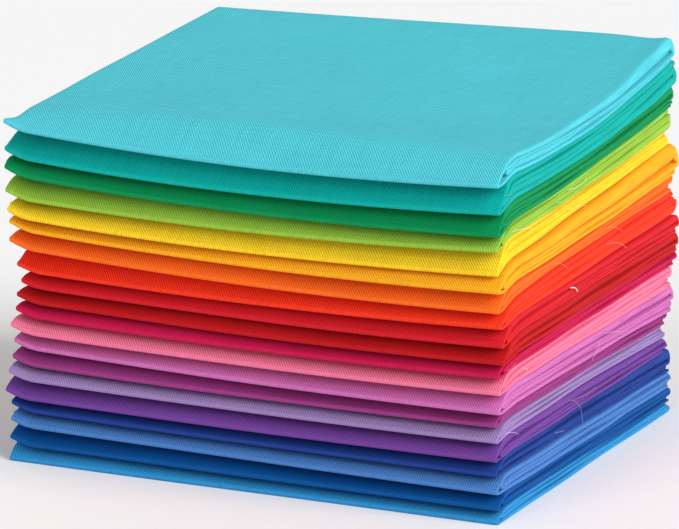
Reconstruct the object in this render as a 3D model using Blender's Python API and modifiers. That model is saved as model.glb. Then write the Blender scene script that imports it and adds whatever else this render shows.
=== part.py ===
"""Fat quarter bundle: twenty folded cotton cloths, stacked with their outer folds to the front.

Each cloth is an 18 x 21 inch cut. Its 18 inch way is folded in thirds, which makes a strip three
sheets thick, and the strip is then folded in half and in half again. So each cloth is four runs of
the strip: an outer run above and below, two inner runs between them, an outer and an inner fold at
the front, and one fold and the two cut ends at the back. A cloth here is that back-and-forth
section, lofted from its left side to its right.

Frame: metres, +Z up, -Y is the front with the outer folds, X runs along those folds. The origin is
the middle of the bundle's footprint, on the surface that it stands on.
"""
import math
from collections import namedtuple

import bpy

MM = 0.001

STRIP_WIDTH = 152.4  # mm, an 18 inch cut folded in thirds
STRIP_RUN = 133.35  # mm, a 21 inch cut folded in quarters
CLOTH_GAP = 0.3  # mm left between one cloth and the next
FRONT_GAP = 0.7  # mm more than that at the front folds, which droop freely
RUNS = 4  # runs of the strip in one cloth
THICKEST_STRIP = 1.0  # mm, three sheets lying loosely together
STRIP_SHARE = 0.8  # part of each run's height that the strip fills, the rest being the space between
CUT_END_SETBACK = 2.0  # mm from the back fold to the two cut ends
NOSE_CLEARANCE = 0.3  # mm between the two sides of the strip inside the outer front fold
LOOP_REACH = 0.9  # mm from a run's end to the middle of the strip where it turns
LOOP_SWELL = 1.1  # height of a turn, as a share of the distance between its two runs
WIDTH_STATIONS = 4  # sections in the loft, left side to right side
COTTON_ROUGHNESS = 0.85

# One row for each cloth, top to bottom, in mm:
#   front_left, front_right  height of the cloth at the front, gap included
#   middle, back             its height halfway along the right side, and along the back
#   left_in, right_out       how far its left side stands in, and its right side out
#   lip_left, lip_right      how far its front fold is set back at either end
#   back_out                 how far its back fold reaches past the nominal one
#   ramp, curve              depth of the slope down to the front fold, and its hollowness
#   loop                     whether the back fold joins the upper or the lower two runs
Cloth = namedtuple(
    "Cloth",
    "name colour front_left front_right middle back"
    " left_in right_out lip_left lip_right back_out ramp curve loop",
)
CLOTHS = (
    Cloth("aqua", "4FC3D1", 5.2, 5.6, 5.2, 7.0, 0.0, -0.6, 0.0, 0.8, 0.4, 12.0, 0.9, "high"),
    Cloth("teal", "00A9A4", 8.4, 7.4, 6.6, 8.0, 0.3, -0.4, 0.4, 0.5, 2.2, 7.5, 1.4, "low"),
    Cloth("green", "009A5A", 5.3, 6.3, 4.9, 6.2, 0.4, -0.8, 0.5, 0.9, 1.6, 6.0, 0.8, "high"),
    Cloth("lime", "8DBB3F", 6.9, 4.4, 4.9, 6.8, 0.5, -1.0, 0.6, 1.3, 0.2, 6.5, 1.1, "low"),
    Cloth("yellow", "F2C92A", 5.4, 7.0, 5.6, 4.6, 0.1, -1.6, 0.1, 2.1, -0.6, 7.0, 1.0, "low"),
    Cloth("amber", "EBA020", 4.0, 4.2, 6.8, 9.0, 1.1, 0.6, 1.5, 0.0, 2.4, 5.5, 1.0, "high"),
    Cloth("orange", "F06422", 5.4, 5.7, 4.2, 5.0, 0.9, -0.2, 1.3, 0.4, 0.0, 6.5, 1.2, "high"),
    Cloth("scarlet", "E63B26", 7.2, 4.2, 6.6, 7.4, 2.2, 0.6, 3.1, 0.0, 1.6, 6.0, 1.3, "low"),
    Cloth("brick_red", "CB2230", 4.6, 5.2, 4.2, 5.2, 2.5, 1.4, 3.6, 0.0, 2.0, 6.5, 0.9, "high"),
    Cloth("dark_red", "BC1E22", 4.6, 4.8, 6.0, 5.7, 2.1, 1.4, 3.0, 0.0, 2.2, 6.0, 1.1, "high"),
    Cloth("crimson", "CB1B58", 4.3, 4.0, 4.0, 4.6, 1.7, 0.5, 2.4, 0.0, 2.6, 5.5, 1.0, "high"),
    Cloth("pink", "F07B96", 4.8, 4.7, 5.8, 6.1, 0.9, 0.5, 1.3, 0.0, -1.0, 6.5, 1.0, "high"),
    Cloth("orchid", "C367AC", 4.6, 5.5, 6.2, 8.0, 1.2, 0.5, 1.7, 0.0, 1.2, 6.5, 1.1, "high"),
    Cloth("plum", "973A7E", 5.0, 4.3, 3.9, 4.0, 0.9, -1.2, 1.3, 1.7, 0.0, 6.0, 1.2, "high"),
    Cloth("lavender", "A283B8", 4.3, 4.3, 3.9, 3.9, 0.3, -0.9, 0.5, 1.2, -2.2, 6.0, 0.9, "low"),
    Cloth("purple", "74449A", 5.7, 5.1, 5.0, 3.9, -0.6, -0.2, 0.0, 0.3, -2.6, 6.5, 1.1, "high"),
    Cloth("royal_blue", "25428F", 4.0, 4.4, 6.0, 7.2, 0.7, -0.6, 1.0, 0.8, 2.2, 6.0, 1.0, "high"),
    Cloth("cornflower", "5280C4", 4.5, 4.8, 5.2, 4.6, 0.3, 0.4, 0.4, 0.0, 0.2, 6.0, 1.0, "high"),
    Cloth("cerulean", "0060A3", 5.9, 4.6, 3.9, 3.9, 0.3, 0.5, 0.5, 0.0, 0.0, 6.5, 1.2, "high"),
    Cloth("sky_blue", "3590C8", 4.7, 4.0, 4.0, 4.0, 0.1, 0.0, 0.1, 0.2, 1.0, 6.0, 1.0, "low"),
)

# The front folds stand lower than the stack behind them, as shares of its height.
FRONT_SINK = 0.025  # all along
FRONT_DROOP = 0.027  # more halfway along
SETTLE = 0.12  # share of the depth where a fold has settled to the height of the stack behind it

# The bundle's nominal front and back, in mm; each cloth's own offsets start from them.
FRONT_Y = -STRIP_RUN / 2
BACK_Y = STRIP_RUN / 2
RUN_STATIONS = (SETTLE, 1 / 3, 2 / 3)  # shares of the depth where every run has a point
SAG_AT_STATIONS = 0.9  # part of the sag at mid-depth that the runs have at those stations

# Turn of the strip at the outer front fold, in degrees from the back, bottom to top.
NOSE_ANGLES = (270, 210, 150, 110)
# Turn of the strip where two neighbouring runs join.
LOOP_ANGLES = (0, 60, 120, 180)
RAMP_STATIONS = (1 / 3, 2 / 3)  # shares of the slope where it has a point


def clear_scene():
    for old in list(bpy.data.objects):
        bpy.data.objects.remove(old, do_unlink=True)


def linear_colour(hex_colour):
    """The linear RGBA of a hex sRGB colour."""
    channels = [int(hex_colour[i:i + 2], 16) / 255 for i in (0, 2, 4)]
    return [c / 12.92 if c <= 0.04045 else ((c + 0.055) / 1.055) ** 2.4 for c in channels] + [1.0]


def cotton(cloth):
    material = bpy.data.materials.new("cotton_" + cloth.name)
    material.use_nodes = True
    shader = material.node_tree.nodes["Principled BSDF"]
    shader.inputs["Base Color"].default_value = linear_colour(cloth.colour)
    shader.inputs["Roughness"].default_value = COTTON_ROUGHNESS
    shader.inputs["Metallic"].default_value = 0.0
    return material


def mix(start, end, share):
    return start + (end - start) * share


def height(cloth, across, depth):
    """A cloth's height, in mm, at a share across the bundle and a share of its depth.

    The left side rises evenly to the back; the right side sags between its ends.
    """
    straight = mix(mix(cloth.front_left, cloth.front_right, across), cloth.back, depth)
    sag = (cloth.front_right + cloth.back) / 2 - cloth.middle
    return straight - sag * across * SAG_AT_STATIONS * min(3 * depth, 1, 3 * (1 - depth))


def stack_height(index, across, depth):
    """Height of the stack under one cloth; index -1 gives the top of the bundle."""
    return sum(height(lower, across, depth) for lower in CLOTHS[index + 1:])


def floor_under(index, across, depth):
    """Height of the surface one cloth lies on, which droops with its own fold at the front."""
    if index < 0 or depth >= SETTLE:
        return stack_height(index, across, depth)
    droop = FRONT_SINK + FRONT_DROOP * 4 * across * (1 - across)
    fold = (1 - droop) * stack_height(index, across, 0.0)
    return mix(fold, stack_height(index, across, SETTLE), depth / SETTLE)


def room_for(index, across, depth):
    """Height from the surface one cloth lies on to the next cloth."""
    above = floor_under(index - 1, across, depth)
    gap = CLOTH_GAP + FRONT_GAP * max(0.0, 1 - depth / SETTLE)
    return above - floor_under(index, across, depth) - gap


def strip_thickness(index):
    """The strip's thickness: thin enough for four runs where the cloth is lowest."""
    cloth = CLOTHS[index]
    lowest = min(cloth.middle, cloth.back) - CLOTH_GAP
    for station in range(WIDTH_STATIONS):
        across = station / (WIDTH_STATIONS - 1)
        slope_end = (mix(cloth.lip_left, cloth.lip_right, across) + cloth.ramp) / STRIP_RUN
        lowest = min(lowest, room_for(index, across, slope_end), room_for(index, across, SETTLE))
    return min(THICKEST_STRIP, STRIP_SHARE * lowest / RUNS)


class Section:
    """The path of one cloth's strip, front to back, at one share across the bundle."""

    def __init__(self, index, across):
        cloth = CLOTHS[index]
        self.index = index
        self.cloth = cloth
        self.across = across
        self.thickness = strip_thickness(index)
        self.lip = FRONT_Y + mix(cloth.lip_left, cloth.lip_right, across)
        self.back = BACK_Y + cloth.back_out
        self.x = mix(-STRIP_WIDTH / 2 + cloth.left_in, STRIP_WIDTH / 2 + cloth.right_out, across)

    def point(self, y, level, lift=0.0):
        """The strip's middle at y, where level runs from 0, the lowest run, to 1, the highest."""
        depth = (y - FRONT_Y) / STRIP_RUN
        floor = floor_under(self.index, self.across, depth)
        room = room_for(self.index, self.across, depth) - self.thickness
        return (self.x, y, floor + self.thickness / 2 + level * room + lift)

    def run(self, level):
        """The points inside one run, front to back."""
        return [self.point(FRONT_Y + share * STRIP_RUN, level) for share in RUN_STATIONS]

    def outer_fold(self):
        """The front fold from its lower run to its upper: a round nose low down, then a slope."""
        radius = self.thickness / 2 + NOSE_CLEARANCE
        centre = self.lip + self.thickness / 2 + radius
        slope_end = self.lip + self.cloth.ramp
        points = [self.point(slope_end, 0.0)]
        for angle in NOSE_ANGLES:
            turn = math.radians(angle)
            points.append(self.point(centre + radius * math.cos(turn), 0.0, radius * (1 + math.sin(turn))))
        nose_y, nose_z = points[-1][1], points[-1][2]
        for share in RAMP_STATIONS:
            y = mix(nose_y, slope_end, share)
            top = self.point(y, 1.0)
            points.append((self.x, y, mix(nose_z, top[2], share ** self.cloth.curve)))
        points.append(self.point(slope_end, 1.0))
        return points

    def loop(self, y, low, high, outward):
        """A turn of the strip between two runs, from the lower to the upper; outward is -1 or 1."""
        middle, rise = (low + high) / 2, LOOP_SWELL * (high - low) / 2
        start = y - outward * (LOOP_REACH + self.thickness / 2)
        points = []
        for angle in LOOP_ANGLES:
            turn = math.radians(angle)
            level = middle - rise * math.cos(turn)
            points.append(self.point(start + outward * LOOP_REACH * math.sin(turn), level))
        return points

    def path(self):
        """All the strip's points, from one cut end to the other."""
        third = 1 / (RUNS - 1)
        cut_end = self.back - CUT_END_SETBACK
        inner_fold = self.loop(self.lip + self.cloth.ramp, third, 2 * third, -1)
        if self.cloth.loop == "low":
            back_fold = self.loop(self.back, 0.0, third, 1)
            outer = [self.point(cut_end, 1.0)] + self.run(1.0)[::-1] + self.outer_fold()[::-1]
            inner = self.run(third)[::-1] + inner_fold + self.run(2 * third)
            return outer + self.run(0.0) + back_fold + inner + [self.point(cut_end, 2 * third)]
        back_fold = self.loop(self.back, 2 * third, 1.0, 1)[::-1]
        outer = [self.point(cut_end, 0.0)] + self.run(0.0)[::-1] + self.outer_fold()
        inner = self.run(2 * third)[::-1] + inner_fold[::-1] + self.run(third)
        return outer + self.run(1.0) + back_fold + inner + [self.point(cut_end, third)]


def loft_faces(rows):
    """Triangles between neighbouring sections.

    Each cell is split from its front left corner to its back right one, whichever way the strip
    runs, so that the facets of two cloths that lie on each other match.
    """
    faces = []
    length = len(rows[0])
    for i in range(len(rows) - 1):
        for j in range(length - 1):
            here, right = i * length + j, (i + 1) * length + j
            if rows[i][j + 1][1] > rows[i][j][1]:
                faces += [(here, right, right + 1), (here, right + 1, here + 1)]
            else:
                faces += [(here, right, here + 1), (right, right + 1, here + 1)]
    return faces


def folded_cloth(index, collection):
    """One cloth: its section lofted across the bundle as an open sheet, thickened by Solidify."""
    stations = [i / (WIDTH_STATIONS - 1) for i in range(WIDTH_STATIONS)]
    rows = [Section(index, across).path() for across in stations]
    vertices = [[c * MM for c in point] for row in rows for point in row]
    cloth = CLOTHS[index]
    name = f"cloth_{index + 1:02d}_{cloth.name}"
    mesh = bpy.data.meshes.new(name)
    mesh.from_pydata(vertices, [], loft_faces(rows))
    mesh.materials.append(cotton(cloth))
    piece = bpy.data.objects.new(name, mesh)
    collection.objects.link(piece)
    sheet = piece.modifiers.new("strip_thickness", "SOLIDIFY")
    sheet.thickness = strip_thickness(index) * MM
    sheet.offset = 0.0
    sheet.use_even_offset = True
    return piece


def centre_on_footprint(pieces):
    """Moves the bundle sideways so that the origin is the middle of its footprint."""
    bpy.context.view_layer.update()
    depsgraph = bpy.context.evaluated_depsgraph_get()
    corners = []
    for piece in pieces:
        evaluated = piece.evaluated_get(depsgraph)
        corners += [evaluated.matrix_world @ vertex.co for vertex in evaluated.data.vertices]
    middle_x = (min(c.x for c in corners) + max(c.x for c in corners)) / 2
    middle_y = (min(c.y for c in corners) + max(c.y for c in corners)) / 2
    for piece in pieces:
        piece.location = (-middle_x, -middle_y, 0.0)


def build():
    clear_scene()
    bundle = bpy.data.collections.new("fat_quarter_bundle")
    bpy.context.scene.collection.children.link(bundle)
    pieces = [folded_cloth(index, bundle) for index in range(len(CLOTHS))]
    centre_on_footprint(pieces)


build()
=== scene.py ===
"""Looks of the fat quarter bundle: twenty thin cotton sheets, each folded as a real one is.

Every cloth is one flat 18 x 21 inch sheet. It is folded in thirds across, like a letter, which
makes a strip three sheets thick, and the strip is folded in half and in half again along its
length. Sizes are in mm until a mesh is made, and each cloth is placed by its CAD node's box.
"""
import math
from collections import namedtuple

import bpy
import numpy as np
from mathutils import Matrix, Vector


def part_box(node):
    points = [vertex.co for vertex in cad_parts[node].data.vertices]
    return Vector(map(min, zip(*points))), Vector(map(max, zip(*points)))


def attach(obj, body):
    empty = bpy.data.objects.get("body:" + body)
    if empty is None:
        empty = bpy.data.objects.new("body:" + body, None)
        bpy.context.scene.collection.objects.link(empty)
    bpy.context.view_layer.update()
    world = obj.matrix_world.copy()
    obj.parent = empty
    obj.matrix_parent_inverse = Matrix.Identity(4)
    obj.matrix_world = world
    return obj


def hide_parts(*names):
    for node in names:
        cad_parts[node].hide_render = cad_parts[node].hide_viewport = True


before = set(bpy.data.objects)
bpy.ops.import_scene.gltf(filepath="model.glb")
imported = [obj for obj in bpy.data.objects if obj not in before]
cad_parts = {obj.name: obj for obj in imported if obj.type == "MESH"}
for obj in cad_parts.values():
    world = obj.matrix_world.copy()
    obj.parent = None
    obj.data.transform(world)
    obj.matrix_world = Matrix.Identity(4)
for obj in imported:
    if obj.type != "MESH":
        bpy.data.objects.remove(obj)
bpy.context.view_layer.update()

MM = 0.001

STRIP_WIDTH = 152.4  # an 18 inch cut folded in thirds
STRIP_RUN = 133.35  # a 21 inch cut folded in quarters
FRONT_Y = -STRIP_RUN / 2
BACK_Y = STRIP_RUN / 2
CLOTH_GAP = 0.1  # between one cloth and the next
SHEET = 0.2  # thickness of one sheet
NOSE_PITCH = 0.22  # sheet to sheet where the folds are tight
NOSE_CLEARANCE = 0.12  # between the strip's two sides inside the outer front fold
CUT_END_SETBACK = 2.0  # from the back fold to the two cut ends
RAW_EDGE_SETBACK = 1.6  # from the left side to the inner raw edge
TUCKED_EDGE_SETBACK = 2.2  # from the right side to the raw edge inside its fold

# One row for each cloth, top to bottom, as in the CAD, in mm:
#   front_left, front_right  height of the cloth at the front
#   middle, back             its height halfway along the right side, and along the back
#   left_in, right_out       how far its left side stands in, and its right side out
#   lip_left, lip_right      how far its front fold is set back at either end
#   back_out                 how far its back fold reaches past the nominal one
#   ramp, curve              depth of the slope down to the front fold, and its hollowness
#   loop                     whether the back fold joins the upper or the lower two runs
Cloth = namedtuple(
    "Cloth",
    "name colour front_left front_right middle back"
    " left_in right_out lip_left lip_right back_out ramp curve loop",
)
CLOTHS = (
    Cloth("aqua", "4FC3D1", 5.2, 5.6, 5.2, 7.0, 0.0, -0.6, 0.0, 0.8, 0.4, 12.0, 0.9, "high"),
    Cloth("teal", "00A9A0", 8.4, 7.4, 6.6, 8.0, 0.3, -0.4, 0.4, 0.5, 2.2, 7.5, 1.4, "low"),
    Cloth("green", "008C50", 5.3, 6.3, 4.9, 6.2, 0.4, -0.8, 0.5, 0.9, 1.6, 6.0, 0.8, "high"),
    Cloth("lime", "94BE40", 6.9, 4.4, 4.9, 6.8, 0.5, -1.0, 0.6, 1.3, 0.2, 6.5, 1.1, "low"),
    Cloth("yellow", "F8CC28", 5.4, 7.0, 5.6, 4.6, 0.1, -1.6, 0.1, 2.1, -0.6, 7.0, 1.0, "low"),
    Cloth("amber", "F4A81E", 4.0, 4.2, 6.8, 9.0, 1.1, 0.6, 1.5, 0.0, 2.4, 5.5, 1.0, "high"),
    Cloth("orange", "F86C20", 5.4, 5.7, 4.2, 5.0, 0.9, -0.2, 1.3, 0.4, 0.0, 6.5, 1.2, "high"),
    Cloth("scarlet", "F0381E", 7.2, 4.2, 6.6, 7.4, 2.2, 0.6, 3.1, 0.0, 1.6, 6.0, 1.3, "low"),
    Cloth("brick_red", "D01C28", 4.6, 5.2, 4.2, 5.2, 2.5, 1.4, 3.6, 0.0, 2.0, 6.5, 0.9, "high"),
    Cloth("dark_red", "BC141A", 4.6, 4.8, 6.0, 5.7, 2.1, 1.4, 3.0, 0.0, 2.2, 6.0, 1.1, "high"),
    Cloth("crimson", "C4144C", 4.3, 4.0, 4.0, 4.6, 1.7, 0.5, 2.4, 0.0, 2.6, 5.5, 1.0, "high"),
    Cloth("pink", "EA7698", 4.8, 4.7, 5.8, 6.1, 0.9, 0.5, 1.3, 0.0, -1.0, 6.5, 1.0, "high"),
    Cloth("orchid", "C86CB0", 4.6, 5.5, 6.2, 8.0, 1.2, 0.5, 1.7, 0.0, 1.2, 6.5, 1.1, "high"),
    Cloth("plum", "983A80", 5.0, 4.3, 3.9, 4.0, 0.9, -1.2, 1.3, 1.7, 0.0, 6.0, 1.2, "high"),
    Cloth("lavender", "987EB4", 4.3, 4.3, 3.9, 3.9, 0.3, -0.9, 0.5, 1.2, -2.2, 6.0, 0.9, "low"),
    Cloth("purple", "704096", 5.7, 5.1, 5.0, 3.9, -0.6, -0.2, 0.0, 0.3, -2.6, 6.5, 1.1, "high"),
    Cloth("royal_blue", "1E3E8E", 4.0, 4.4, 6.0, 7.2, 0.7, -0.6, 1.0, 0.8, 2.2, 6.0, 1.0, "high"),
    Cloth("cornflower", "487CC0", 4.5, 4.8, 5.2, 4.6, 0.3, 0.4, 0.4, 0.0, 0.2, 6.0, 1.0, "high"),
    Cloth("cerulean", "005096", 5.9, 4.6, 3.9, 3.9, 0.3, 0.5, 0.5, 0.0, 0.0, 6.5, 1.2, "high"),
    Cloth("sky_blue", "2C8EC8", 4.7, 4.0, 4.0, 4.0, 0.1, 0.0, 0.1, 0.2, 1.0, 6.0, 1.0, "low"),
)

# The front folds stand lower than the stack behind them, as shares of its height.
FRONT_SINK = 0.025  # all along
FRONT_DROOP = 0.027  # more halfway along
FOLD_BLEND = 12.0  # depth over which a front fold settles from its own height to the stack's


def mix(start, end, share):
    return start + (end - start) * share


def linear_colour(hex_colour):
    """The linear RGBA of a hex sRGB colour."""
    channels = [int(hex_colour[i:i + 2], 16) / 255 for i in (0, 2, 4)]
    return [c / 12.92 if c <= 0.04045 else ((c + 0.055) / 1.055) ** 2.4 for c in channels] + [1.0]


# ---------------------------------------------------------------- heights

def ripple(index, across, depth):
    """Small unevenness of a cloth's height, in mm."""
    a = 0.10 * np.sin(2 * np.pi * (0.9 * across + 0.45 * depth) + 1.7 * index)
    b = 0.07 * np.sin(2 * np.pi * (1.9 * depth - 0.6 * across) + 2.9 * index + 1.0)
    c = 0.05 * np.sin(2 * np.pi * (3.1 * depth + 0.8 * across) + 4.3 * index)
    return a + b + c


def height(index, across, depth):
    """A cloth's own height at a share across the bundle and a share of its depth."""
    cloth = CLOTHS[index]
    depth = np.clip(depth, -0.02, 1.03)
    straight = mix(mix(cloth.front_left, cloth.front_right, across), cloth.back, depth)
    sag = (cloth.front_right + cloth.back) / 2 - cloth.middle
    bowl = 4 * depth * (1 - depth)
    return straight - sag * across * bowl + ripple(index, across, depth)


# Soft troughs on the top cloth: (across, depth) of both ends as shares, half width and drop in mm.
TOP_CREASES = (
    ((0.60, 0.24), (0.98, 0.42), 9.0, 0.55),
    ((0.70, 0.55), (1.00, 0.30), 7.0, 0.35),
    ((0.05, 0.30), (0.45, 0.20), 10.0, 0.30),
)
LEFT_DROP = 5.3  # mm the top's front left corner sinks, shared by all the cloths
LEFT_DROP_WIDTH = 0.6  # share across over which it fades
END_CURL = 1.8  # mm a front fold turns up at its left end
END_CURL_WIDTH = 0.045  # share across over which it does


def top_creases(across, depth):
    """How far the top cloth sinks in its soft troughs."""
    drop = np.zeros_like(across + depth)
    for (a0, d0), (a1, d1), half_width, deep in TOP_CREASES:
        run_x, run_y = (a1 - a0) * STRIP_WIDTH, (d1 - d0) * STRIP_RUN
        length = math.hypot(run_x, run_y)
        at_x, at_y = (across - a0) * STRIP_WIDTH, (depth - d0) * STRIP_RUN
        along = (at_x * run_x + at_y * run_y) / length ** 2
        off = (at_x * run_y - at_y * run_x) / length
        fade = np.clip(1 - (2 * along - 1) ** 2, 0, 1)
        drop = drop + deep * fade * np.exp(-(off / half_width) ** 2)
    return drop


def floor_under(index, across, depth):
    """Height of the surface that a cloth lies on; index -1 gives the top of the bundle."""
    total = np.zeros_like(across + depth)
    for lower in range(index + 1, len(CLOTHS)):
        total = total + height(lower, across, depth)
    drop = LEFT_DROP * np.clip(1 - depth, 0, 1) * np.clip(1 - across / LEFT_DROP_WIDTH, 0, 1) ** 2
    total = total - drop * (len(CLOTHS) - 1 - index) / len(CLOTHS)
    if index < 0:
        return total - top_creases(across, depth)
    front = np.zeros_like(across + depth)
    for lower in range(index + 1, len(CLOTHS)):
        front = front + mix(CLOTHS[lower].front_left, CLOTHS[lower].front_right, across)
    fold = front * (1 - FRONT_SINK - FRONT_DROOP * 4 * across * (1 - across))
    if index < len(CLOTHS) - 1:
        fold = fold + END_CURL * np.clip(1 - across / END_CURL_WIDTH, 0, 1) ** 1.5
    settle = np.clip((depth * STRIP_RUN - 1.0) / FOLD_BLEND, 0, 1)
    settle = settle * settle * (3 - 2 * settle)
    return mix(fold, total, settle)


# Where a cloth's slack goes along its right side: shares for its four runs, lowest run first, at
# the front and at the back. The run with most of it has a round, full fold.
SLACK = {
    "aqua": ((0.25, 0.50, 0.05, 0.20), (0.00, 0.00, 0.00, 1.00)),
    "teal": ((0.20, 0.40, 0.10, 0.30), (0.45, 0.30, 0.05, 0.20)),
    "green": ((0.35, 0.15, 0.20, 0.30), (0.15, 0.05, 0.05, 0.75)),
    "lime": ((0.30, 0.35, 0.05, 0.30), (0.45, 0.30, 0.05, 0.20)),
    "yellow": ((0.45, 0.25, 0.10, 0.20), (0.55, 0.20, 0.05, 0.20)),
    "amber": ((0.10, 0.10, 0.10, 0.70), (0.05, 0.05, 0.10, 0.80)),
    "orange": ((0.25, 0.20, 0.30, 0.25), (0.25, 0.25, 0.25, 0.25)),
    "scarlet": ((0.25, 0.15, 0.35, 0.25), (0.65, 0.10, 0.05, 0.20)),
    "brick_red": ((0.10, 0.15, 0.10, 0.65), (0.10, 0.10, 0.10, 0.70)),
    "dark_red": ((0.10, 0.15, 0.15, 0.60), (0.05, 0.05, 0.10, 0.80)),
    "crimson": ((0.15, 0.25, 0.20, 0.40), (0.15, 0.15, 0.20, 0.50)),
    "pink": ((0.25, 0.20, 0.30, 0.25), (0.35, 0.15, 0.25, 0.25)),
    "orchid": ((0.20, 0.30, 0.05, 0.45), (0.15, 0.30, 0.05, 0.50)),
    "plum": ((0.25, 0.25, 0.20, 0.30), (0.25, 0.20, 0.15, 0.40)),
    "lavender": ((0.35, 0.15, 0.15, 0.35), (0.30, 0.20, 0.20, 0.30)),
    "purple": ((0.10, 0.10, 0.10, 0.70), (0.10, 0.10, 0.10, 0.70)),
    "royal_blue": ((0.15, 0.15, 0.20, 0.50), (0.05, 0.10, 0.10, 0.75)),
    "cornflower": ((0.25, 0.30, 0.10, 0.35), (0.30, 0.25, 0.10, 0.35)),
    "cerulean": ((0.10, 0.10, 0.10, 0.70), (0.10, 0.10, 0.10, 0.70)),
    "sky_blue": ((0.35, 0.20, 0.10, 0.35), (0.40, 0.15, 0.10, 0.35)),
}
FLARE_START = 0.955  # share across where the panels start to part into a round fold
SLACK_START = 0.86  # share across where the right side's own slack starts to show


# ---------------------------------------------------------------- the letter fold, across the strip

A_CELLS = 12
LEFT_FOLD_CELLS = 5
RIGHT_FOLD_CELLS = 9
B_CELLS = 30
C_CELLS = 24
PANEL_A, PANEL_B, PANEL_C, LEFT_FOLD, RIGHT_FOLD = range(5)


def spread(cells, edge):
    """Shares from 0 to 1, closer together near both ends."""
    t = np.linspace(0, 1, cells + 1)
    return mix(t, 0.5 - 0.5 * np.cos(np.pi * t), edge)


def letter_fold():
    """The sheet's columns from one raw edge to the other: (panel, share, offset, out, edge mask).

    Panel A lies in the middle of the strip, B outside and C inside. share runs from the left fold
    to the right one. offset and out are in sheet pitches: along the strip's outward side, and past
    the fold to the right. The edge mask is 1 on the crest of a fold and on a raw edge; there the
    weave fades and a painted highlight lightens the cloth.
    """
    rows = [(PANEL_A, t, 0.0, 0.0, 0.0) for t in spread(A_CELLS, 0.5)[::-1]]
    for k in range(1, LEFT_FOLD_CELLS):
        turn = math.pi * k / LEFT_FOLD_CELLS
        rows.append((LEFT_FOLD, 0.0, 0.5 - 0.5 * math.cos(turn), -0.5 * math.sin(turn), math.sin(turn)))
    rows += [(PANEL_B, t, 1.0, 0.0, 0.0) for t in spread(B_CELLS, 0.7)]
    for k in range(1, RIGHT_FOLD_CELLS):
        turn = math.pi * k / RIGHT_FOLD_CELLS
        rows.append((RIGHT_FOLD, 1.0, math.cos(turn), math.sin(turn), math.sin(turn)))
    rows += [(PANEL_C, t, -1.0, 0.0, 0.0) for t in spread(C_CELLS, 0.7)[::-1]]
    return rows


FOLD = letter_fold()
PANEL, SHARE, OFFSET, OUT, EDGE_AND_HIGHLIGHT = (np.array([row[k] for row in FOLD]) for k in range(5))

RUN_CELLS = 17
RAMP_CELLS = 12
NOSE_CELLS = 8
LOOP_CELLS = 6
LOOP_RADIUS = 0.9  # from a run's end to the middle of the strip where it turns
INNER_ROOM = 13.5  # sheet pitches the inner front fold needs: twelve sheets and some play
INNER_ROOM_Y = FRONT_Y + 6.0  # where the room for it is measured
RAMP_REACH = 1.25  # the slope eases into the top run over a quarter more than its depth
EASE = 1.6
NOSE_RADIUS = 1.5 * NOSE_PITCH + NOSE_CLEARANCE
NOSE_TOP = 1.5 * NOSE_PITCH + 2 * NOSE_RADIUS


def side_waver(index, run, depth):
    """How far the left and the right side of one run stand out, in mm, along its depth."""
    seed = 3.7 * index + 1.9 * run  # so that no two runs waver alike
    right = (0.28 * np.sin(2 * np.pi * 0.8 * depth + seed)
             + 0.16 * np.sin(2 * np.pi * 2.3 * depth + 2 * seed)
             + 0.35 * math.sin(5.1 * seed) * np.clip(depth * 8, 0, 1))
    left = (0.3 * np.sin(2 * np.pi * 0.7 * depth + 1.3 * seed)
            + 0.2 * np.sin(2 * np.pi * 1.9 * depth + 2.2 * seed)
            + 0.3 * math.sin(4.3 * seed + 1.0))
    return left, right


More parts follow.
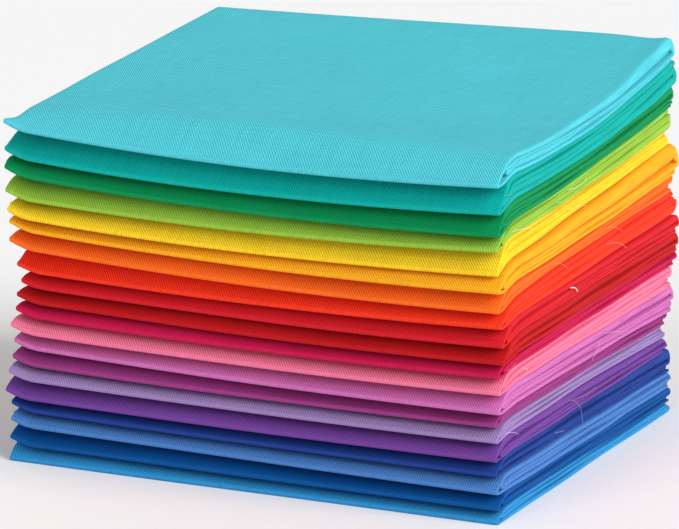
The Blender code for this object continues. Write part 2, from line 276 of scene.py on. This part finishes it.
class Strip:
    """One cloth's strip: stations along its middle line, each with a value for every column."""

    def __init__(self, index):
        self.index = index
        self.cloth = CLOTHS[index]
        self.share = np.where(PANEL == LEFT_FOLD, 0.0, np.where(PANEL == RIGHT_FOLD, 1.0, SHARE))
        self.lip = (FRONT_Y + mix(self.cloth.lip_left, self.cloth.lip_right, self.share)
                    + 0.2 * np.sin(2 * np.pi * 1.3 * self.share + 2.1 * index) * (1 - self.share))
        self.back = BACK_Y + self.cloth.back_out
        self.left = -STRIP_WIDTH / 2 + self.cloth.left_in
        self.right = STRIP_WIDTH / 2 + self.cloth.right_out
        self.stations = []

    def add(self, y, weights, nose=0.0, nose_height=0.0, tight=None, edge_and_highlight=0.0):
        """A station: its y, its weights on the four runs, and its share of the front fold."""
        row = np.zeros(4)
        for run, weight in weights.items():
            row[run] = weight
        self.stations.append((y * np.ones_like(self.share), row, nose, nose_height,
                              nose if tight is None else tight, edge_and_highlight))

    def run(self, start, end, run, first=True):
        for k, t in enumerate(spread(RUN_CELLS, 0.35)):
            if k or first:
                self.add(mix(start, end, t), {run: 1.0})

    def loop(self, extreme, start, end, outward, radius):
        """A turn of the strip from one run to the next, reaching to extreme."""
        for k in range(1, LOOP_CELLS):
            turn = math.pi * k / LOOP_CELLS
            share = 0.5 - 0.5 * math.cos(turn)
            self.add(extreme - outward * radius * (1 - math.sin(turn)),
                     {start: 1 - share, end: share}, edge_and_highlight=0.5 * math.sin(turn))

    def rise(self, t):
        return 1 - (1 - min(1.0, t) ** self.cloth.curve) ** EASE

    def nose(self):
        """The front fold, from the foot of the bottom run to the top of the slope."""
        centre = self.lip + NOSE_RADIUS + 1.5 * NOSE_PITCH
        ramp_end = self.lip + RAMP_REACH * self.cloth.ramp
        made = []
        for t in (0.75, 0.5, 0.25):
            made.append((mix(centre, self.lip + self.cloth.ramp, t), {0: 1.0}, 1 - t, 1.5 * NOSE_PITCH))
        for k in range(NOSE_CELLS + 1):
            turn = math.radians(270 - 175 * k / NOSE_CELLS)
            y = centre + NOSE_RADIUS * math.cos(turn)
            rise = 1.5 * NOSE_PITCH + NOSE_RADIUS * (1 + math.sin(turn))
            made.append((y, {3: 1.0}, 1.0, rise, 1.0, max(0.0, -math.cos(turn - 0.5))))
        for k in range(1, RAMP_CELLS + 1):
            t = k / RAMP_CELLS
            made.append((mix(centre, ramp_end, t), {3: 1.0}, 1 - self.rise(t), NOSE_TOP,
                         1 - min(1.0, 1.15 * t), 0.0))
        return made

    def inner_front(self):
        """Where the inner fold starts: as soon as the slope leaves room for all twelve sheets."""
        right_room = float(self.heights(np.array([INNER_ROOM_Y]), np.array([1.0]))[1][0])
        needed = INNER_ROOM * NOSE_PITCH
        for k in range(40, 101):
            t = k / 100
            if mix(NOSE_TOP, right_room, self.rise(t)) > needed:
                break
        return self.lip + RAMP_REACH * self.cloth.ramp * t

    def heights(self, y, across):
        """The surface under the cloth and the height from it to the next cloth, in mm."""
        depth = (y - FRONT_Y) / STRIP_RUN
        floor = floor_under(self.index, across, depth)
        return floor, floor_under(self.index - 1, across, depth) - floor - CLOTH_GAP

    def lay_out(self):
        cloth = self.cloth
        cut_end = self.back - CUT_END_SETBACK
        slope_top = self.lip + RAMP_REACH * cloth.ramp
        slope_foot = self.lip + cloth.ramp
        inner = self.inner_front()
        radius = LOOP_RADIUS
        back_start = self.back - radius
        inner_start = inner + radius
        nose = self.nose()
        if cloth.loop == "low":
            self.run(cut_end, slope_top, 3)
            for station in nose[::-1][1:]:
                self.add(*station)
            self.run(slope_foot, back_start, 0)
            self.loop(self.back, 0, 1, 1, radius)
            self.run(back_start, inner_start, 1)
            self.loop(inner, 1, 2, -1, radius)
            self.run(inner_start, cut_end, 2)
        else:
            self.run(cut_end, slope_foot, 0)
            for station in nose:
                self.add(*station)
            self.run(slope_top, back_start, 3, first=False)
            self.loop(self.back, 3, 2, 1, radius)
            self.run(back_start, inner_start, 2)
            self.loop(inner, 2, 1, -1, radius)
            self.run(inner_start, cut_end, 1)

    def surface(self):
        """The whole sheet: points (columns x stations x 3), and its edge mask, which also sets a
        painted highlight.
        """
        self.lay_out()
        y = np.array([s[0] for s in self.stations]).T
        weights = np.array([s[1] for s in self.stations])
        extras = (np.array([s[k] for s in self.stations])[None, :] for k in range(2, 6))
        nose, nose_height, tight, edge_and_highlight = extras
        depth = (y - FRONT_Y) / STRIP_RUN
        lefts, rights = np.zeros_like(y), np.zeros_like(y)
        for run in range(4):
            left, right = side_waver(self.index, run, depth)
            lefts += weights[None, :, run] * left
            rights += weights[None, :, run] * right
        panel, share = PANEL[:, None], SHARE[:, None]
        low_edge = self.left + lefts + np.where(panel == PANEL_C, RAW_EDGE_SETBACK, 0.0)
        high_edge = self.right + rights - np.where(panel == PANEL_A, TUCKED_EDGE_SETBACK, 0.0)

        pitch = np.full_like(y, 0.4)
        for _ in range(2):  # the turns at the sides depend on the pitch, and the pitch on x
            low = low_edge + np.where(panel == PANEL_C, 0.0, 0.5 * pitch)
            high = high_edge - np.where(panel == PANEL_A, 0.0, pitch)
            x = mix(low, high, share) + OUT[:, None] * pitch
            across = np.clip((x - self.left) / (self.right - self.left), 0.0, 1.0)
            floor, room = self.heights(y, across)
            # Inner runs squeeze in under the slope.
            t = np.clip((y - self.lip[:, None]) / (RAMP_REACH * self.cloth.ramp), 0.0, 1.0)
            rise = 1 - (1 - t ** self.cloth.curve) ** EASE
            slope = mix(NOSE_TOP + 1.5 * NOSE_PITCH, room, rise)
            inner = weights[None, :, 1] + weights[None, :, 2] > 0.5
            room = np.where(inner, np.minimum(room, slope), room)
            front, back = (np.array(w) for w in SLACK[self.cloth.name])
            edge = np.clip((across - SLACK_START) / (1 - SLACK_START), 0, 1)
            edge = (edge * edge * (3 - 2 * edge))[..., None]
            slack = mix(0.25, mix(front, back, np.clip(depth, 0, 1)[..., None]), edge)
            spare = np.maximum(room - 12 * NOSE_PITCH, 0.0)[..., None]
            each = np.minimum(room[..., None] / 4, 3 * NOSE_PITCH) + spare * slack
            centre = np.cumsum(each, axis=-1) - each / 2
            run_z = (centre * weights).sum(axis=-1)
            run_pitch = (each * weights).sum(axis=-1) / 3
            z = floor + mix(run_z, nose_height, nose)
            pitch = mix(run_pitch, NOSE_PITCH, tight)

        nose_tight = np.clip(tight, 0, 1) * np.ones_like(y)
        ty, tz = np.gradient(y, axis=1), np.gradient(z, axis=1)
        length = np.sqrt(ty ** 2 + tz ** 2) + 1e-9
        side = 1.0 if self.cloth.loop == "low" else -1.0
        full = 1.5 - 0.5 * SHEET / pitch
        flare = np.clip((SHARE[:, None] - FLARE_START) / (1 - FLARE_START), 0, 1)
        flare = np.where(PANEL[:, None] == PANEL_A, 0.0, flare ** 2) * (1 - nose_tight)
        offset = OFFSET[:, None] * pitch * side * mix(1.0, full, flare)
        points = np.stack([x, y + offset * tz / length, z - offset * ty / length], axis=-1)
        edges_and_highlight = np.maximum(EDGE_AND_HIGHLIGHT[:, None] * np.ones_like(y), edge_and_highlight * np.ones_like(y))
        edges_and_highlight[0, :] = edges_and_highlight[-1, :] = edges_and_highlight[:, 0] = edges_and_highlight[:, -1] = 1.0
        return points, edges_and_highlight


def sheet_mesh(index):
    """One cloth's points, its flat coordinates both ways in mm, and its edge mask for the painted
    highlight.
    """
    points, edge_and_highlight = Strip(index).surface()
    # Flat coordinates: lengths along each way of the cloth, on the outer panel where it turns.
    du = np.linalg.norm(np.diff(points, axis=0), axis=-1).mean(axis=1)
    dv = np.linalg.norm(np.diff(points[PANEL == PANEL_B], axis=1), axis=-1).mean(axis=0)
    u = np.concatenate([[0], np.cumsum(du)])
    v = np.concatenate([[0], np.cumsum(dv)])
    if CLOTHS[index].loop == "low":
        v = v[-1] - v
    return points, u, v, edge_and_highlight


def make_sheet(name, points, u, v, edge_and_highlight, material):
    columns, rows, _ = points.shape
    i = np.arange(columns - 1)[:, None]
    j = np.arange(rows - 1)[None, :]
    a = i * rows + j
    faces = np.stack([a, a + rows, a + rows + 1, a + 1], axis=-1).reshape(-1, 4)
    mesh = bpy.data.meshes.new(name)
    mesh.from_pydata((points.reshape(-1, 3) * MM).tolist(), [], faces.tolist())
    uv = mesh.uv_layers.new(name="flat_cloth")
    flat = np.stack([np.repeat(u, rows), np.tile(v, columns)], axis=-1) * MM
    corners = np.zeros(len(mesh.loops), dtype=np.int64)
    mesh.loops.foreach_get("vertex_index", corners)
    uv.data.foreach_set("uv", flat[corners].astype(np.float32).ravel())
    # A mask on fold crests and raw edges: it fades the weave there and lays a painted highlight on
    # them.
    mask = mesh.attributes.new("edge_and_highlight", "FLOAT", "POINT")
    mask.data.foreach_set("value", edge_and_highlight.reshape(-1).astype(np.float32))
    mesh.materials.append(material)
    mesh.shade_smooth()
    obj = bpy.data.objects.new(name, mesh)
    bpy.context.scene.collection.objects.link(obj)
    solid = obj.modifiers.new("cloth_thickness", "SOLIDIFY")
    solid.thickness = SHEET * MM
    solid.offset = 0.0
    return obj


# ---------------------------------------------------------------- cotton

THREAD_U = 0.000394  # metres from one thread to the next, across the strip
THREAD_V = 0.000538  # the same along it
# How strongly each pattern lightens and darkens the cloth, as a share of its colour.
WEAVE_SHADE = 0.30
SLUB_SHADE = 0.30
MOTTLE_SHADE = 0.12
STREAK_SHADE = 0.8
CREST_SHARE = 0.75  # how much of the crests' look, a fainter weave and a painted highlight, shows where the edge mask is full
WEAVE_HEIGHT = 0.00006  # metres


def node(tree, kind, **values):
    made = tree.nodes.new(kind)
    for key, value in values.items():
        setattr(made, key, value)
    return made


def math_node(tree, operation, a, b=None, c=None):
    made = node(tree, "ShaderNodeMath", operation=operation)
    for k, value in enumerate((a, b, c)):
        if value is None:
            continue
        if isinstance(value, (int, float)):
            made.inputs[k].default_value = value
        else:
            tree.links.new(value, made.inputs[k])
    return made.outputs[0]


def noise(tree, flat, stretch=(1.0, 1.0, 1.0), offset=(0.0, 0.0, 0.0), scale=1.0, detail=1.0):
    """Noise from 0 to 1 over the flat cloth, stretched along its ways."""
    at = node(tree, "ShaderNodeMapping")
    at.inputs["Scale"].default_value = stretch
    at.inputs["Location"].default_value = offset
    tree.links.new(flat, at.inputs[0])
    made = node(tree, "ShaderNodeTexNoise")
    made.inputs["Scale"].default_value = scale
    made.inputs["Detail"].default_value = detail
    tree.links.new(at.outputs[0], made.inputs["Vector"])
    return made.outputs["Fac"]


def cotton(cloth):
    """Plain-woven cotton in the cloth's colour, with a painted highlight on its fold crests and raw
    edges.
    """
    material = bpy.data.materials.new("cotton_" + cloth.name)
    material.use_nodes = True
    tree = material.node_tree
    shader = tree.nodes["Principled BSDF"]
    flat = node(tree, "ShaderNodeUVMap", uv_map="flat_cloth").outputs[0]
    split = node(tree, "ShaderNodeSeparateXYZ")
    tree.links.new(flat, split.inputs[0])
    turn_u = math_node(tree, "MULTIPLY", split.outputs[0], math.pi / THREAD_U)
    turn_v = math_node(tree, "MULTIPLY", split.outputs[1], math.pi / THREAD_V)
    rising = math_node(tree, "COSINE", math_node(tree, "ADD", turn_u, turn_v))
    falling = math_node(tree, "COSINE", math_node(tree, "SUBTRACT", turn_u, turn_v))
    weave = math_node(tree, "MULTIPLY_ADD", falling, 0.35, rising)

    # Slubs: threads a little thicker or paler along their length.
    slubs_u = noise(tree, flat, stretch=(1 / THREAD_U, 60.0, 1.0))
    slubs_v = noise(tree, flat, stretch=(60.0, 1 / THREAD_V, 1.0), offset=(3.0, 7.0, 0.0))
    slubs = math_node(tree, "SUBTRACT", math_node(tree, "ADD", slubs_u, slubs_v), 1.0)
    mottle = math_node(tree, "SUBTRACT", noise(tree, flat, scale=22.0, detail=2.0), 0.5)

    # The weave is fainter on the crests of the folds.
    edge_and_highlight = node(tree, "ShaderNodeAttribute", attribute_name="edge_and_highlight")
    plain = math_node(tree, "MULTIPLY_ADD", edge_and_highlight.outputs["Fac"], -CREST_SHARE, 1.0)
    weave = math_node(tree, "MULTIPLY", weave, plain)
    shade = math_node(tree, "MULTIPLY_ADD", weave, WEAVE_SHADE, 1.0)
    shade = math_node(tree, "MULTIPLY_ADD", slubs, SLUB_SHADE, shade)
    shade = math_node(tree, "MULTIPLY_ADD", mottle, MOTTLE_SHADE, shade)

    base = linear_colour(cloth.colour)
    colour = node(tree, "ShaderNodeVectorMath", operation="SCALE")
    colour.inputs[0].default_value = base[:3]
    tree.links.new(shade, colour.inputs["Scale"])
    # Painted highlight: the crests are a little brighter than the cloth, standing in for the sheen
    # where the folds catch the light.
    crest = node(tree, "ShaderNodeMix", data_type="RGBA")
    crest_share = math_node(tree, "MULTIPLY", edge_and_highlight.outputs["Fac"], CREST_SHARE)
    tree.links.new(crest_share, crest.inputs["Factor"])
    tree.links.new(colour.outputs[0], crest.inputs["A"])
    crest.inputs["B"].default_value = [min(1.0, 1.12 * c + 0.004) for c in base[:3]] + [1.0]
    # Fine streaks along the folds, where the threads turn over the edge.
    streak = noise(tree, flat, stretch=(3200.0, 70.0, 1.0), detail=2.0)
    centred = math_node(tree, "SUBTRACT", streak, 0.5)
    streaks = math_node(tree, "MULTIPLY", centred, edge_and_highlight.outputs["Fac"])
    finish = node(tree, "ShaderNodeVectorMath", operation="SCALE")
    tree.links.new(crest.outputs["Result"], finish.inputs[0])
    streak_shade = math_node(tree, "MULTIPLY_ADD", streaks, STREAK_SHADE, 1.0)
    tree.links.new(streak_shade, finish.inputs["Scale"])
    tree.links.new(finish.outputs[0], shader.inputs["Base Color"])

    relief = math_node(tree, "MULTIPLY_ADD", slubs, 0.5, weave)
    bump = node(tree, "ShaderNodeBump")
    bump.inputs["Strength"].default_value = 0.6
    bump.inputs["Distance"].default_value = WEAVE_HEIGHT
    tree.links.new(relief, bump.inputs["Height"])
    tree.links.new(bump.outputs[0], shader.inputs["Normal"])

    shader.inputs["Roughness"].default_value = 0.82
    shader.inputs["Specular IOR Level"].default_value = 0.12
    shader.inputs["Sheen Weight"].default_value = 0.04
    shader.inputs["Sheen Roughness"].default_value = 0.4
    return material


# ---------------------------------------------------------------- loose threads and fluff

# Threads lying on the right side of their own cloth, in mm: how pale one is (as a share), where it
# starts from the front, how high in its cloth (as a share), how long it is, how far its end falls and
# how far its middle stands off.
Thread = namedtuple("Thread", "cloth paleness depth level length fall bow")
THREADS = (
    Thread("lime", 0.8, 8, 0.7, 16, 2, 0.9),
    Thread("lime", 0.55, 40, 0.5, 6, 2, 0.6),
    Thread("lime", 0.75, 48, 0.8, 15, -1, 1.0),
    Thread("yellow", 0.35, 50, 0.6, 12, 1, 0.7),
    Thread("orange", 0.2, 75, 0.6, 12, 3, 0.8),
    Thread("orange", 0.2, 35, 0.6, 10, 3, 0.7),
    Thread("scarlet", 0.3, 75, 0.7, 15, 4, 0.9),
    Thread("pink", 0.7, 12, 0.8, 3, 3, 1.2),
    Thread("orchid", 0.4, 75, 0.8, 16, 4, 1.1),
    Thread("orchid", 0.4, 70, 0.7, -5, 5, 1.1),
    Thread("purple", 0.3, 50, 0.8, 10, 9, 1.0),
    Thread("purple", 0.3, 70, 0.6, -16, 0, 1.0),
    Thread("lavender", 0.6, 5, 0.4, 8, 2, 0.7),
    Thread("royal_blue", 0.4, 40, 0.5, 7, 1, 0.7),
    # Frayed yarn in the hollows at the right front corners.
    Thread("teal", 0.12, 2, 0.5, 5, -1, 0.6),
    Thread("teal", 0.15, 2, 0.7, 6, 1, 0.5),
    Thread("green", 0.12, 2, 0.5, 5, -1, 0.5),
    Thread("crimson", 0.2, 2, 0.5, 5, -1, 0.6),
    Thread("cornflower", 0.2, 2, 0.5, 5, -1, 0.5),
)
FLUFF = Thread("brick_red", 0.95, 46, 0.8, 5, 2, 0.3)
THREAD_RADIUS = 0.06
FLUFF_RADIUS = 0.15
THREAD_CELLS = 12
THREAD_SIDES = 6
THREAD_STAND_OFF = 0.3  # from the cloth's side to a thread's middle
SIDE_BAND = 6.0  # points of the cloths this near the right side can carry a thread
REACH_ALONG = 6.0  # how near to a thread such a point lies, along the side
REACH_UP = 1.5  # the same in height


def smooth_path(points, cells):
    """A Catmull-Rom curve through the points."""
    ends = [2 * points[0] - points[1], *points, 2 * points[-1] - points[-2]]
    path = []
    for a, b, c, d in zip(ends, ends[1:], ends[2:], ends[3:]):
        for t in np.linspace(0, 1, cells, endpoint=False):
            path.append(0.5 * (2 * b + (c - a) * t + (2 * a - 5 * b + 4 * c - d) * t ** 2
                               + (3 * b - 3 * c + d - a) * t ** 3))
    return path + [points[-1]]


def thread_mesh(name, path, radius, material):
    """A round thread along a path, with both ends closed."""
    vertices, faces = [], []
    for k, point in enumerate(path):
        ahead = path[min(k + 1, len(path) - 1)] - path[max(k - 1, 0)]
        along = Vector(ahead).normalized()
        side = along.cross(Vector((1, 0, 0.2))).normalized()
        over = along.cross(side)
        for j in range(THREAD_SIDES):
            turn = 2 * math.pi * j / THREAD_SIDES
            vertices.append(Vector(point) + radius * (math.cos(turn) * side + math.sin(turn) * over))
    for k in range(len(path) - 1):
        for j in range(THREAD_SIDES):
            a, b = k * THREAD_SIDES + j, k * THREAD_SIDES + (j + 1) % THREAD_SIDES
            faces.append((a, b, b + THREAD_SIDES, a + THREAD_SIDES))
    faces.append(tuple(range(THREAD_SIDES))[::-1])
    faces.append(tuple(range(len(vertices) - THREAD_SIDES, len(vertices))))
    mesh = bpy.data.meshes.new(name)
    mesh.from_pydata([list(v * MM) for v in vertices], [], faces)
    mesh.materials.append(material)
    mesh.shade_smooth()
    obj = bpy.data.objects.new(name, mesh)
    bpy.context.scene.collection.objects.link(obj)
    return obj


def thread_material(name, cloth, pale):
    material = bpy.data.materials.new(name)
    material.use_nodes = True
    shader = material.node_tree.nodes["Principled BSDF"]
    base = linear_colour(cloth.colour)
    shader.inputs["Base Color"].default_value = [mix(c, 0.92, pale) for c in base[:3]] + [1.0]
    shader.inputs["Roughness"].default_value = 0.8
    shader.inputs["Specular IOR Level"].default_value = 0.12
    return material


def side_reach(points, depth, level):
    """How far right a cloth reaches near a point of its right side."""
    near = (abs(points[:, 1] - depth) < REACH_ALONG) & (abs(points[:, 2] - level) < REACH_UP)
    return points[near, 0].max()


def add_threads(shapes):
    everything = np.concatenate([shape.reshape(-1, 3) for shape in shapes])
    side = everything[everything[:, 0] > STRIP_WIDTH / 2 - SIDE_BAND]
    names = [cloth.name for cloth in CLOTHS]
    for k, thread in enumerate(THREADS + (FLUFF,)):
        index = names.index(thread.cloth)
        start = thread.depth / STRIP_RUN
        bottom, top = (float(floor_under(i, 1.0, start)) for i in (index, index - 1))
        path = []
        for t in np.linspace(0, 1, 4):
            y = FRONT_Y + thread.depth + t * thread.length
            z = mix(bottom, top, thread.level) - thread.fall * t ** 2
            x = side_reach(side, y, z) + THREAD_STAND_OFF + thread.bow * math.sin(math.pi * t)
            path.append(np.array([x, y, z]))
        piece_name = f"loose_thread_{k + 1:02d}"
        radius = FLUFF_RADIUS if thread is FLUFF else THREAD_RADIUS
        material = thread_material(piece_name, CLOTHS[index], thread.paleness)
        obj = thread_mesh(piece_name, smooth_path(path, THREAD_CELLS), radius, material)
        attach(obj, "root")


# ---------------------------------------------------------------- build

def build_cloths():
    made, shapes = [], []
    for index, cloth in enumerate(CLOTHS):
        node_name = f"cloth_{index + 1:02d}_{cloth.name}"
        points, u, v, edge_and_highlight = sheet_mesh(index)
        low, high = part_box(node_name)
        shift_x = (low[0] + high[0]) / 2 / MM - (cloth.left_in + cloth.right_out) / 2
        shift_y = high[1] / MM - (BACK_Y + cloth.back_out)
        points[..., 0] += shift_x
        points[..., 1] += shift_y
        obj = make_sheet(f"sheet_{index + 1:02d}_{cloth.name}", points, u, v, edge_and_highlight, cotton(cloth))
        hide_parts(node_name)
        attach(obj, "root")
        made.append(obj)
        shapes.append(points)
    return shapes


FLOOR_HALF = 3.0  # metres
WORLD_STRENGTH = 0.38
# The camera, from a fit to the stack's corners in the photo.
CAMERA_LENS = 187.1  # mm, on a 36 mm sensor
CAMERA_PLACE = (0.4321, -0.9137, 0.2734)  # metres
CAMERA_DOWN = 12.37  # degrees below level
CAMERA_TURN = 25.49  # degrees round from straight ahead


def add_floor():
    """A pale floor for the pictures. It is staging and not part of the bundle."""
    mesh = bpy.data.meshes.new("studio_floor")
    half = FLOOR_HALF
    corners = [(-half, -half, 0), (half, -half, 0), (half, half, 0), (-half, half, 0)]
    mesh.from_pydata(corners, [], [(0, 1, 2, 3)])
    material = bpy.data.materials.new("studio_floor")
    material.use_nodes = True
    shader = material.node_tree.nodes["Principled BSDF"]
    shader.inputs["Base Color"].default_value = (0.96, 0.96, 0.96, 1)
    shader.inputs["Roughness"].default_value = 0.9
    mesh.materials.append(material)
    floor = bpy.data.objects.new("studio_floor", mesh)
    bpy.context.scene.collection.objects.link(floor)


def add_sun(name, towards, spread_angle, strength):
    data = bpy.data.lights.new(name, "SUN")
    data.angle = math.radians(spread_angle)
    data.energy = strength
    lamp = bpy.data.objects.new(name, data)
    bpy.context.scene.collection.objects.link(lamp)
    lamp.rotation_euler = Vector(towards).to_track_quat("Z", "Y").to_euler()


def add_studio():
    world = bpy.data.worlds.new("studio")
    bpy.context.scene.world = world
    world.use_nodes = True
    sky = world.node_tree.nodes["Background"]
    sky.inputs["Color"].default_value = (1, 1, 1, 1)
    sky.inputs["Strength"].default_value = WORLD_STRENGTH
    add_sun("key", towards=(0.85, -0.15, 0.62), spread_angle=40, strength=2.5)
    add_sun("fill", towards=(-0.12, -0.85, 0.62), spread_angle=35, strength=0.72)
    bpy.context.scene.view_settings.view_transform = "Standard"


def add_camera():
    data = bpy.data.cameras.new("photo_view")
    data.sensor_width = 36.0
    data.lens = CAMERA_LENS
    data.clip_start = 0.01
    camera = bpy.data.objects.new("photo_view", data)
    bpy.context.scene.collection.objects.link(camera)
    camera.location = CAMERA_PLACE
    camera.rotation_euler = (math.radians(90 - CAMERA_DOWN), 0.0, math.radians(CAMERA_TURN))
    bpy.context.scene.camera = camera


add_threads(build_cloths())
add_floor()
add_studio()
add_camera()
